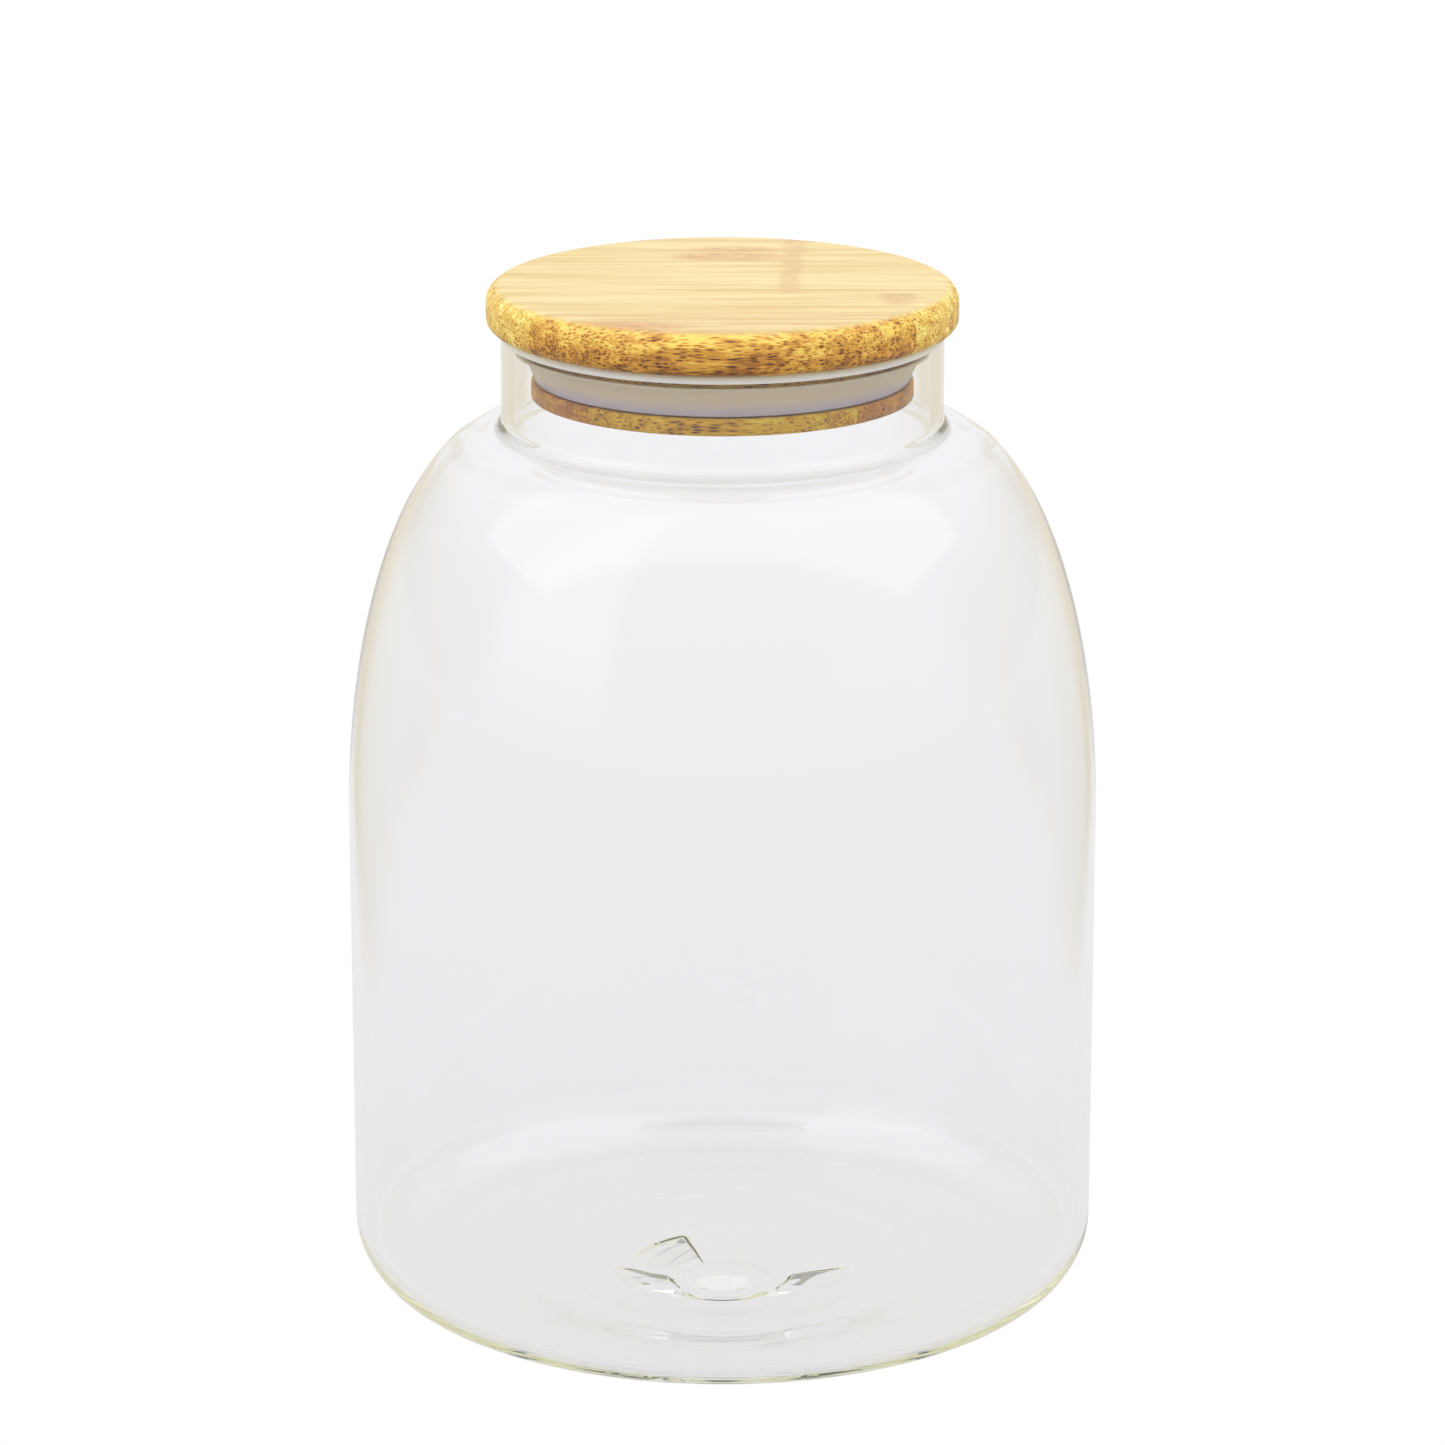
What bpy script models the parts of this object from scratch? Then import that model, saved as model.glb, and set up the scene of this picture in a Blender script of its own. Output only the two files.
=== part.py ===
"""Lidded glass storage jar: a mouth-blown jar, a silicone sealing ring and a laminated bamboo lid.

Metres, +Z up. The origin is the centre of the standing face. The bamboo's grain runs along +X.
Run it with blender --background --python part.py, or from Blender's text editor.
"""

import math

import bmesh
import bpy

MM = 0.001

# Jar, outside
BODY_RADIUS = 96.8 * MM
SHOULDER_FOOT_Z = 128 * MM  # where the straight wall starts to curve in
SHOULDER_TOP_Z = 230 * MM
NECK_RADIUS = 56.4 * MM
NECK_ROOT_FILLET = 2.5 * MM
RIM_Z = 255.2 * MM
CORNER_WIDTH = 19.3 * MM  # the base corner is a quarter of an ellipse
CORNER_HEIGHT = 18 * MM

# Jar, glass thickness and inside
BODY_WALL = 2.2 * MM
NECK_WALL = 3.2 * MM
FLOOR_THICKNESS = 2.8 * MM  # at its edge; the inner corner keeps the outer corner's centre
FLOOR_RISE = 3.7 * MM
INNER_ROOT_FILLET = 8 * MM
PUNT_RADIUS = 48 * MM  # the pushed-up middle of the base
PUNT_RISE = 3 * MM
GATHER_RADIUS = 9 * MM  # the drop of glass left where the jar was held
GATHER_RISE = 1.2 * MM

# Lid
CAP_RADIUS = 60 * MM
CAP_THICKNESS = 11 * MM
CAP_REST_GAP = 0.3 * MM  # between the rim and the cap
CAP_TOP_ROUND = 4.4 * MM
CAP_UNDER_ROUND = 3 * MM
PLUG_RADIUS = 50 * MM
FLANGE_RADIUS = 48.7 * MM
FLANGE_THICKNESS = 4.4 * MM
GROOVE_RADIUS = 44 * MM
GROOVE_HEIGHT = 7.7 * MM
PLUG_DEPTH = 17 * MM
PLY_GAP = 0.3 * MM

# Bamboo strips: five side by side, glued edge to edge
STRIP_WIDTH = 24 * MM
STRIP_COUNT = 5
STRIP_GAP = 0.3 * MM

# Sealing ring
SEAL_CLEARANCE = 0.3 * MM
SEAL_FOOT_RADIUS = 47.8 * MM
SEAL_TOP_RADIUS = 50.3 * MM
SEAL_LIP_REACH = 52.7 * MM  # just inside the neck
SEAL_LIP_RISE = 1.3 * MM
SEAL_LIP_THICKNESS = 0.9 * MM
SEAL_FOOT_ROUND = 0.4 * MM

# Fineness
JAR_SEGMENTS = 64
LID_SEGMENTS = 64
SEAL_SEGMENTS = 64

STANDING_EDGE = BODY_RADIUS - CORNER_WIDTH  # where the base leaves the table
CAP_UNDER_Z = RIM_Z + CAP_REST_GAP
CAP_TOP_Z = CAP_UNDER_Z + CAP_THICKNESS
PLUG_TOP_Z = CAP_UNDER_Z - PLY_GAP
PLUG_UNDER_Z = CAP_UNDER_Z - PLUG_DEPTH
GROOVE_FOOT_Z = PLUG_UNDER_Z + FLANGE_THICKNESS
GROOVE_TOP_Z = GROOVE_FOOT_Z + GROOVE_HEIGHT


def clear_scene():
    for obj in list(bpy.data.objects):
        bpy.data.objects.remove(obj)


def make_material(name, colour, roughness, transmission=0.0):
    material = bpy.data.materials.new(name)
    material.use_nodes = True
    shader = material.node_tree.nodes["Principled BSDF"]
    shader.inputs["Base Color"].default_value = (*colour, 1.0)
    shader.inputs["Roughness"].default_value = roughness
    shader.inputs["Metallic"].default_value = 0.0
    shader.inputs["Transmission Weight"].default_value = transmission
    return material


def arc(centre, radii, start_deg, end_deg, steps):
    """Points (r, z) along part of an ellipse, both ends included."""
    angles = [math.radians(start_deg + (end_deg - start_deg) * i / steps) for i in range(steps + 1)]
    return [
        (centre[0] + radii[0] * math.cos(angle), centre[1] + radii[1] * math.sin(angle))
        for angle in angles
    ]


def turned(name, outline, segments, closed):
    """A solid of revolution about Z. A closed outline makes a ring; an open one starts and ends on the axis."""
    shape = bmesh.new()
    corners = [shape.verts.new((r, 0, z)) for r, z in outline]
    edges = [shape.edges.new(pair) for pair in zip(corners, corners[1:])]
    if closed:
        edges.append(shape.edges.new((corners[-1], corners[0])))
    bmesh.ops.spin(
        shape,
        geom=corners + edges,
        cent=(0, 0, 0),
        axis=(0, 0, 1),
        angle=2 * math.pi,
        steps=segments,
        use_merge=True,
        use_duplicate=False,
    )
    bmesh.ops.remove_doubles(shape, verts=shape.verts, dist=0.001 * MM)
    bmesh.ops.recalc_face_normals(shape, faces=shape.faces)
    mesh = bpy.data.meshes.new(name)
    shape.to_mesh(mesh)
    shape.free()
    mesh.shade_smooth()
    mesh.set_sharp_from_angle(angle=math.radians(35))
    return mesh


def add_object(name, mesh, material, parent):
    mesh.materials.append(material)
    obj = bpy.data.objects.new(name, mesh)
    obj.parent = parent
    bpy.context.scene.collection.objects.link(obj)
    return obj


def add_axis(name, parent=None):
    """An empty on the jar's axis that a moving body hangs on."""
    empty = bpy.data.objects.new(name, None)
    empty.parent = parent
    empty.empty_display_size = CAP_RADIUS
    bpy.context.scene.collection.objects.link(empty)
    return empty


def jar_outside():
    """From under the middle of the base, out and up to the top of the neck's straight wall."""
    punt = arc((0, 0), (PUNT_RADIUS, PUNT_RISE), 90, 0, 5)
    corner = arc((STANDING_EDGE, CORNER_HEIGHT), (CORNER_WIDTH, CORNER_HEIGHT), -90, 0, 6)
    shoulder_reach = BODY_RADIUS - NECK_RADIUS
    shoulder_rise = SHOULDER_TOP_Z - SHOULDER_FOOT_Z
    shoulder = arc((NECK_RADIUS, SHOULDER_FOOT_Z), (shoulder_reach, shoulder_rise), 0, 86, 10)
    root_centre = (NECK_RADIUS + NECK_ROOT_FILLET, SHOULDER_TOP_Z + NECK_ROOT_FILLET)
    root = arc(root_centre, (NECK_ROOT_FILLET, NECK_ROOT_FILLET), 250, 180, 2)
    return punt + corner + shoulder + root


def jar_rim():
    half_wall = NECK_WALL / 2
    return arc((NECK_RADIUS - half_wall, RIM_Z - half_wall), (half_wall, half_wall), 0, 180, 6)


def jar_inside():
    """From the neck's inner wall down to the middle of the floor."""
    neck = NECK_RADIUS - NECK_WALL
    wall = BODY_RADIUS - BODY_WALL
    top = SHOULDER_TOP_Z - BODY_WALL
    root_centre = (neck + INNER_ROOT_FILLET, top + INNER_ROOT_FILLET)
    root = arc(root_centre, (INNER_ROOT_FILLET, INNER_ROOT_FILLET), 180, 262, 4)
    reach = wall - NECK_RADIUS
    shoulder = arc((NECK_RADIUS, SHOULDER_FOOT_Z), (reach, top - SHOULDER_FOOT_Z), 82, 0, 10)
    corner_radii = (wall - STANDING_EDGE, CORNER_HEIGHT - FLOOR_THICKNESS)
    corner = arc((STANDING_EDGE, CORNER_HEIGHT), corner_radii, 0, -90, 6)
    return root + shoulder + corner + floor_dome()


def floor_dome():
    """The floor's low dome and the gather in its middle, out of two cosine waves."""
    steps = 8
    points = []
    for i in range(1, steps):
        r = STANDING_EDGE * (1 - i / steps)
        points.append((r, FLOOR_THICKNESS + FLOOR_RISE * cosine_hill(r, STANDING_EDGE)))
    crown = FLOOR_THICKNESS + FLOOR_RISE
    points.append((GATHER_RADIUS / 2, crown + GATHER_RISE / 2))
    points.append((0, crown + GATHER_RISE))
    return points


def cosine_hill(r, radius):
    return 0.5 + 0.5 * math.cos(math.pi * r / radius)


def make_jar(glass):
    outline = jar_outside() + jar_rim() + jar_inside()
    return add_object("glass_jar", turned("glass_jar", outline, JAR_SEGMENTS, False), glass, None)


def make_seal(silicone, parent):
    inner = GROOVE_RADIUS + SEAL_CLEARANCE
    foot = GROOVE_FOOT_Z + SEAL_CLEARANCE
    top = GROOVE_TOP_Z - SEAL_CLEARANCE
    lip_z = top + SEAL_LIP_RISE
    outline = [
        (inner, top),
        (inner, foot),
        (SEAL_FOOT_RADIUS - SEAL_FOOT_ROUND, foot),
        (SEAL_FOOT_RADIUS, foot + SEAL_FOOT_ROUND),
        (SEAL_TOP_RADIUS, top - SEAL_LIP_THICKNESS),
        (SEAL_LIP_REACH, lip_z - SEAL_LIP_THICKNESS),
        (SEAL_LIP_REACH, lip_z - SEAL_LIP_THICKNESS / 2),
        (SEAL_LIP_REACH - SEAL_LIP_THICKNESS, lip_z),
        (SEAL_TOP_RADIUS, top),
    ]
    mesh = turned("silicone_seal", outline, SEAL_SEGMENTS, True)
    return add_object("silicone_seal", mesh, silicone, parent)


def cap_outline():
    edge = CAP_RADIUS - CAP_UNDER_ROUND
    lower = arc(
        (edge, CAP_UNDER_Z + CAP_UNDER_ROUND), (CAP_UNDER_ROUND, CAP_UNDER_ROUND), -90, 0, 4
    )
    shoulder = (CAP_RADIUS - CAP_TOP_ROUND, CAP_TOP_Z - CAP_TOP_ROUND)
    upper = arc(shoulder, (CAP_TOP_ROUND, CAP_TOP_ROUND), 0, 90, 5)
    return [(0, CAP_UNDER_Z)] + lower + upper + [(0, CAP_TOP_Z)]


def plug_outline():
    return [
        (0, PLUG_UNDER_Z),
        (FLANGE_RADIUS, PLUG_UNDER_Z),
        (FLANGE_RADIUS, GROOVE_FOOT_Z),
        (GROOVE_RADIUS, GROOVE_FOOT_Z),
        (GROOVE_RADIUS, GROOVE_TOP_Z),
        (PLUG_RADIUS, GROOVE_TOP_Z),
        (PLUG_RADIUS, PLUG_TOP_Z),
        (0, PLUG_TOP_Z),
    ]


def strip_box(index):
    """The room that one bamboo strip takes in the board, as a cutter for the turned disc."""
    offset = (index - (STRIP_COUNT - 1) / 2) * STRIP_WIDTH
    size = (3 * CAP_RADIUS, STRIP_WIDTH - STRIP_GAP, 3 * PLUG_DEPTH)
    shape = bmesh.new()
    bmesh.ops.create_cube(shape, size=1.0)
    bmesh.ops.scale(shape, vec=size, verts=shape.verts)
    bmesh.ops.translate(shape, vec=(0, offset, CAP_UNDER_Z), verts=shape.verts)
    mesh = bpy.data.meshes.new(f"strip_box_{index + 1}")
    shape.to_mesh(mesh)
    shape.free()
    cutter = bpy.data.objects.new(mesh.name, mesh)
    cutter.hide_render = True
    cutter.display_type = "WIRE"
    bpy.context.scene.collection.objects.link(cutter)
    return cutter


def make_ply(ply_name, outline, materials, cutters, parent):
    """One ply of the lid: the same turned disc, kept only inside each strip's room."""
    for index, cutter in enumerate(cutters):
        name = f"{ply_name}_strip_{index + 1}"
        mesh = turned(name, outline, LID_SEGMENTS, False)
        strip = add_object(name, mesh, materials[index], parent)
        keep = strip.modifiers.new("strip", "BOOLEAN")
        keep.operation = "INTERSECT"
        keep.solver = "EXACT"
        keep.object = cutter


def build():
    clear_scene()
    glass = make_material("clear_glass", (0.95, 0.96, 0.94), 0.02, transmission=1.0)
    silicone = make_material("silicone", (0.69, 0.64, 0.61), 0.45)
    pale = make_material("bamboo_pale", (0.80, 0.55, 0.26), 0.55)
    toasted = make_material("bamboo_toasted", (0.39, 0.18, 0.05), 0.6)
    make_jar(glass)
    lift_axis = add_axis("lid_lift_axis")
    turn_axis = add_axis("lid_turn_axis", lift_axis)
    make_seal(silicone, lift_axis)
    cutters = [strip_box(index) for index in range(STRIP_COUNT)]
    cap_materials = [toasted, pale, pale, pale, pale]
    plug_materials = [pale, toasted, toasted, toasted, toasted]
    make_ply("lid_cap", cap_outline(), cap_materials, cutters, turn_axis)
    make_ply("lid_plug", plug_outline(), plug_materials, cutters, turn_axis)


build()
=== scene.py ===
# %% [markdown]
# # A mouth-blown storage jar with a bamboo lid
#
# The object is a clear glass jar of about six litres. A blower makes it on the end of a pipe, so it has
# a rounded shoulder, soft rings under its neck and a pushed-up base with a drop of glass left in it.
# Its lid is a board of bamboo strips, turned round on a lathe, with a plug that carries a silicone ring.
#
# The imported model is loaded first, as a fixed frame. The outer sizes and places of the new pieces come
# from its boxes, and the smaller sizes repeat the design's own numbers, so nothing has to be fitted to it
# afterwards. Its own box is kept, and the floor is laid at its foot.

# %% Load the frame
import math

import bpy
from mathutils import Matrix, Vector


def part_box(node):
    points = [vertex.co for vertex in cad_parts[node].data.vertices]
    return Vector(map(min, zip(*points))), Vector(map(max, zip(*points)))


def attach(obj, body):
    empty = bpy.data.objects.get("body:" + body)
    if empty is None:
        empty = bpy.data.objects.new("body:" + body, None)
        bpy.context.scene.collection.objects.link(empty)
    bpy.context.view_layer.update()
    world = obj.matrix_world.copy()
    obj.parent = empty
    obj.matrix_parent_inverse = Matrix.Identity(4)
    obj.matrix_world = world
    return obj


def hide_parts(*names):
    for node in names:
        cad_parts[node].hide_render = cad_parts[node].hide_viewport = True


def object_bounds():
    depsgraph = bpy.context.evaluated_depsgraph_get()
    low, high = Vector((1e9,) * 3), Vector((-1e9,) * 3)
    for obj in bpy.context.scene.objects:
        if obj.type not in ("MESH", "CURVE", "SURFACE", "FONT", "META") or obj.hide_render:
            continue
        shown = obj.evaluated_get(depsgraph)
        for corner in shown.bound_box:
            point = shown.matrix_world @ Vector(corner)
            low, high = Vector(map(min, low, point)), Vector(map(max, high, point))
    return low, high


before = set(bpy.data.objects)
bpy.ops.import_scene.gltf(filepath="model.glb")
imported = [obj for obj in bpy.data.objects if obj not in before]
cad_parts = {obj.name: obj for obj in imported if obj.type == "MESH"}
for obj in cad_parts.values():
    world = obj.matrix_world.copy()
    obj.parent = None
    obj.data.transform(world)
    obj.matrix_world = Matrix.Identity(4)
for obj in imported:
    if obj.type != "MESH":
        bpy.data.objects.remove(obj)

MM = 0.001
cad_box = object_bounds()
print("the object is", [round(side / MM, 1) for side in cad_box[1] - cad_box[0]], "mm")

# %% [markdown]
# ## Camera
#
# The jar is seen from a little above, so that the top of the lid shows as a narrow ellipse. A long lens
# from one and a half metres away keeps the jar's sides nearly upright.
# A camera looks straight down when it isn't turned, so tilting it by a right angle makes it look level.

# %% Place the camera
CAMERA_DISTANCE = 1.5
CAMERA_HEIGHT = 0.593
LOOK_DOWN = math.radians(16.44)
LENS = 150.6  # mm of focal length on a 36 mm wide sensor

bpy.ops.object.camera_add(
    location=(0, -CAMERA_DISTANCE, CAMERA_HEIGHT), rotation=(math.pi / 2 - LOOK_DOWN, 0, 0)
)
camera = bpy.context.object
camera.data.lens = LENS
bpy.context.scene.camera = camera
print("camera at", [round(value, 3) for value in camera.location])

# %% [markdown]
# ## Small helpers for materials
#
# A material is a small network of nodes. One function adds a node, sets what has to be set, and links
# its inputs. A name that starts with a small letter is a property of the node, such as `operation`, and
# anything else is one of its input sockets. Colours are picked as sRGB hex values, as in any paint
# program, but a renderer works in linear light, so a second function turns them to linear.
#
# A mask is a pattern of ones and zeros with soft borders. It says where a lamp shines in the tent, where
# the table is bare, or where a pore is in the wood.

# %% Helpers for nodes and colours
def linear(hex_colour):
    """The linear RGBA value of an sRGB colour such as "#EBD08C"."""
    channels = [int(hex_colour[i:i + 2], 16) / 255 for i in (1, 3, 5)]
    return (*[c / 12.92 if c <= 0.04045 else ((c + 0.055) / 1.055) ** 2.4 for c in channels], 1.0)


def add_node(tree, kind, settings=None, links=None):
    """Adds a node to a tree, sets its properties and inputs, and links its inputs to other nodes' outputs."""
    node = tree.nodes.new(kind)
    for key, value in (settings or {}).items():
        if isinstance(key, str) and key[0].islower():
            setattr(node, key, value)
        else:
            node.inputs[key].default_value = value
    for key, output in (links or {}).items():
        tree.links.new(output, node.inputs[key])
    return node


def new_tree(owner):
    """The empty node tree of a material or a world."""
    owner.use_nodes = True
    owner.node_tree.nodes.clear()
    return owner.node_tree


def mask(tree, borders):
    """1 where every value is past its border and 0 elsewhere, from borders of (value, outside, inside)."""
    result = None
    for value, outside, inside in borders:
        edge = add_node(
            tree,
            "ShaderNodeMapRange",
            {"interpolation_type": "SMOOTHSTEP", 1: outside, 2: inside},
            {0: value},
        ).outputs[0]
        if result is None:
            result = edge
        else:
            result = add_node(
                tree, "ShaderNodeMath", {"operation": "MULTIPLY"}, {0: result, 1: edge}
            ).outputs[0]
    return result


# %% [markdown]
# ## The studio
#
# Clear glass has no look of its own: it only shows what is round it. So the studio matters more than the
# glass material. It is a white tent with a large soft light overhead, two lamps and a strip of cloth.
#
# A studio could be built from area lights and white walls. Here it is the world's own shader, because a
# direction in the sky is enough to say how bright it is there, and it renders with little noise. Each
# direction has an x, a y and a z, and the next cells turn those into brightness and colour.

# %% Start the world
TENT_BRIGHTNESS = 0.93
TENT_COLOUR = (0.975, 0.978, 1.0, 1)  # a little cool
NEARLY_LEVEL = 0.001  # keeps a level direction from dividing by zero

world = bpy.data.worlds.new("white_tent")
bpy.context.scene.world = world
tree = new_tree(world)
direction = add_node(tree, "ShaderNodeTexCoord")
axes = add_node(tree, "ShaderNodeSeparateXYZ", links={0: direction.outputs["Generated"]})
sideways = add_node(tree, "ShaderNodeMath", {"operation": "ABSOLUTE"}, {0: axes.outputs["X"]})
forward = add_node(tree, "ShaderNodeMath", {"operation": "MULTIPLY", 1: -1.0}, {0: axes.outputs["Y"]})
print("the tent's walls have a brightness of", TENT_BRIGHTNESS)

# %% [markdown]
# ## The light overhead
#
# The softbox hangs over the jar, a bit towards the camera, and draws the broad highlight on the
# shoulder. It is a rectangle on a level ceiling. How far along that ceiling a direction points is its x
# or y divided by its z, which is the tangent of its angle from straight up.

# %% Hang the softbox
SOFTBOX_BRIGHTNESS = 1.6
SOFTBOX_HALF_WIDTH = 1.9
SOFTBOX_FRONT = -1.0
SOFTBOX_BACK = 0.35
SOFTBOX_BLUR = 0.3  # how wide the soft border is

upward = add_node(
    tree, "ShaderNodeMath", {"operation": "MAXIMUM", 1: NEARLY_LEVEL}, {0: axes.outputs["Z"]}
)
across = add_node(
    tree, "ShaderNodeMath", {"operation": "DIVIDE"}, {0: sideways.outputs[0], 1: upward.outputs[0]}
)
along = add_node(
    tree, "ShaderNodeMath", {"operation": "DIVIDE"}, {0: axes.outputs["Y"], 1: upward.outputs[0]}
)
softbox = mask(tree, (
    (across.outputs[0], SOFTBOX_HALF_WIDTH + SOFTBOX_BLUR, SOFTBOX_HALF_WIDTH),
    (along.outputs[0], SOFTBOX_FRONT, SOFTBOX_FRONT + SOFTBOX_BLUR),
    (along.outputs[0], SOFTBOX_BACK + SOFTBOX_BLUR, SOFTBOX_BACK),
))
strength = add_node(
    tree,
    "ShaderNodeMapRange",
    {3: TENT_BRIGHTNESS, 4: SOFTBOX_BRIGHTNESS},
    {0: softbox},
)
print("softbox is", round(SOFTBOX_BRIGHTNESS / TENT_BRIGHTNESS, 1), "times as bright as the tent")

# %% [markdown]
# ## The two lamps
#
# A lamp on each side of the camera lights the lid's edge, the left one more. The gap between them, where
# the camera stands, is the faint darker window on the jar's front.

# %% Switch on the lamps
LEFT_LAMP = 0.48  # how much each one adds to the tent's brightness
RIGHT_LAMP = 0.12
LAMP_EDGE = math.tan(math.radians(38))  # sideways for each step forwards
LAMP_BLUR = 0.1
LAMP_FADE_FORWARD = (0.0, 0.35)  # y turned round, from beside the jar towards the camera
LAMP_FADE_UP = (-0.05, 0.35)
LAMP_BLEND = 0.5  # the x where one lamp's share has given way to the other's

ahead = add_node(
    tree, "ShaderNodeMath", {"operation": "MAXIMUM", 1: NEARLY_LEVEL}, {0: forward.outputs[0]}
)
turned_away = add_node(
    tree, "ShaderNodeMath", {"operation": "DIVIDE"}, {0: sideways.outputs[0], 1: ahead.outputs[0]}
)
lamps = mask(tree, (
    (turned_away.outputs[0], LAMP_EDGE - LAMP_BLUR, LAMP_EDGE + LAMP_BLUR),
    (forward.outputs[0], *LAMP_FADE_FORWARD),
    (axes.outputs["Z"], *LAMP_FADE_UP),
))
lamp_brightness = add_node(
    tree,
    "ShaderNodeMapRange",
    {1: -LAMP_BLEND, 2: LAMP_BLEND, 3: LEFT_LAMP, 4: RIGHT_LAMP},
    {0: axes.outputs["X"]},
)
strength = add_node(
    tree,
    "ShaderNodeMath",
    {"operation": "MULTIPLY_ADD"},
    {0: lamps, 1: lamp_brightness.outputs[0], 2: strength.outputs[0]},
)
print("the left lamp is", round(LEFT_LAMP / RIGHT_LAMP, 1), "times as bright as the right one")

# %% [markdown]
# ## The cloth and the backdrop
#
# Low down on the left and right, from beside the jar to behind it, the tent is unbleached cloth. The
# thick edges of the glass bend the view that far, so the cloth colours them.
#
# The camera itself sees plain white behind the object, in place of the tent. Light that has been
# reflected or bent by the object still comes from the tent and the table.

# %% Finish the world
CURTAIN_COLOUR = (0.74, 0.68, 0.56, 1)
CURTAIN_SIDEWAYS = (0.2, 0.6)
CURTAIN_FORWARD = (0.3, -0.1)
CURTAIN_UP = (0.5, 0.1)
PLAIN_WHITE = (1, 1, 1, 1)
GLASS_BOUNCES = 64  # light runs a long way inside the thick edges before it comes out

curtain = mask(tree, (
    (sideways.outputs[0], *CURTAIN_SIDEWAYS),
    (forward.outputs[0], *CURTAIN_FORWARD),
    (axes.outputs["Z"], *CURTAIN_UP),
))
tent_colour = add_node(
    tree, "ShaderNodeMix", {"data_type": "RGBA", 6: TENT_COLOUR, 7: CURTAIN_COLOUR}, {0: curtain}
)
tent = add_node(
    tree,
    "ShaderNodeBackground",
    links={"Color": tent_colour.outputs[2], "Strength": strength.outputs[0]},
)
seen = add_node(tree, "ShaderNodeBackground", {"Strength": 1.0, "Color": PLAIN_WHITE})
path = add_node(tree, "ShaderNodeLightPath")
either = add_node(
    tree,
    "ShaderNodeMixShader",
    links={0: path.outputs["Is Camera Ray"], 1: tent.outputs[0], 2: seen.outputs[0]},
)
add_node(tree, "ShaderNodeOutputWorld", links={"Surface": either.outputs[0]})
bpy.context.scene.view_settings.view_transform = "Standard"
for kind in ("max_bounces", "glossy_bounces", "transmission_bounces"):
    setattr(bpy.context.scene.cycles, kind, GLASS_BOUNCES)
print("the world has", len(tree.nodes), "nodes")

# %% [markdown]
# ## The floor
#
# The camera sees the floor as plain white, like the backdrop, with no shadow on it. Light that comes
# through the glass sees a table instead: a pale, slightly cool card under and around the jar, which gets
# a little brighter towards the back, and a bare beige table top beyond the card on the left and right,
# behind the jar. The thick edges of the glass bend the view far to the side, so they pick up that beige
# and draw the jar's outline. From the side or from behind it shows as a broad patch in the glass.
#
# The card glows, so it looks evenly lit wherever it is, and a little matt reflection on top of the glow
# takes the light and shade of what stands on it.

# %% Lay the floor
FLOOR_SIZE = 30.0
FLOOR_GAP = 0.05 * MM  # keeps the card's face apart from the glass that stands on it
CARD_COLOUR = (0.75, 0.75, 0.775, 1)
TABLE_COLOUR = (0.63, 0.58, 0.48, 1)
MATT_REFLECTION = (0.08, 0.08, 0.08, 1)
CARD_SIDE_EDGE = (0.21, 0.3)  # metres to the left and right, where the card fades into the table
CARD_BACK_EDGE = (0.1, 0.25)  # metres behind the jar's axis, where the bare table starts to show
GLOW_NEAR, GLOW_FAR = 0.965, 1.1
GLOW_RUN = (-0.2, 1.5)  # metres from near to far

bpy.ops.object.select_all(action="DESELECT")
bpy.ops.mesh.primitive_plane_add(size=FLOOR_SIZE, location=(0, 0, cad_box[0].z - FLOOR_GAP))
floor = bpy.context.object
floor.name = "white_card"
card = bpy.data.materials.new("white_card")
tree = new_tree(card)
place = add_node(tree, "ShaderNodeTexCoord")
axes = add_node(tree, "ShaderNodeSeparateXYZ", links={0: place.outputs["Object"]})
sideways = add_node(tree, "ShaderNodeMath", {"operation": "ABSOLUTE"}, {0: axes.outputs["X"]})
bare_table = mask(tree, (
    (sideways.outputs[0], *CARD_SIDE_EDGE),
    (axes.outputs["Y"], *CARD_BACK_EDGE),
))
colour = add_node(
    tree, "ShaderNodeMix", {"data_type": "RGBA", 6: CARD_COLOUR, 7: TABLE_COLOUR}, {0: bare_table}
)
brightness = add_node(
    tree,
    "ShaderNodeMapRange",
    {"interpolation_type": "SMOOTHSTEP", 1: GLOW_RUN[0], 2: GLOW_RUN[1], 3: GLOW_NEAR, 4: GLOW_FAR},
    {0: axes.outputs["Y"]},
)
glow = add_node(
    tree,
    "ShaderNodeEmission",
    links={"Color": colour.outputs[2], "Strength": brightness.outputs[0]},
)
matt = add_node(tree, "ShaderNodeBsdfDiffuse", {"Color": MATT_REFLECTION})
lit = add_node(tree, "ShaderNodeAddShader", links={0: glow.outputs[0], 1: matt.outputs[0]})
seen = add_node(tree, "ShaderNodeEmission", {"Color": PLAIN_WHITE, "Strength": 1.0})
path = add_node(tree, "ShaderNodeLightPath")
either = add_node(
    tree,
    "ShaderNodeMixShader",
    links={0: path.outputs["Is Camera Ray"], 1: lit.outputs[0], 2: seen.outputs[0]},
)
add_node(tree, "ShaderNodeOutputMaterial", links={"Surface": either.outputs[0]})
floor.data.materials.append(card)
print("floor at", round(floor.location.z / MM, 2), "mm")

# %% [markdown]
# ## Turning on a lathe
#
# The jar, the ring and the lid are all round, so each is made as a potter or a turner would see it: half
# of the section is drawn, and spun once round the axis. The section is drawn in edit mode. A tiny plane
# is merged to one corner, and that corner is extruded from point to point. Points on a curve come from
# a formula. After the spin, the corners that meet are merged and the faces are made to point outwards.

# %% The lathe
DOUBLES_DISTANCE = 0.001 * MM
SMOOTH_ANGLE = math.radians(40)  # edges sharper than this stay crisp


def arc(centre, radii, start_deg, end_deg, steps):
    """Points (radius, height) along part of an ellipse, both ends included."""
    angles = [math.radians(start_deg + (end_deg - start_deg) * i / steps) for i in range(steps + 1)]
    return [(centre[0] + radii[0] * math.cos(a), centre[1] + radii[1] * math.sin(a)) for a in angles]


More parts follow.
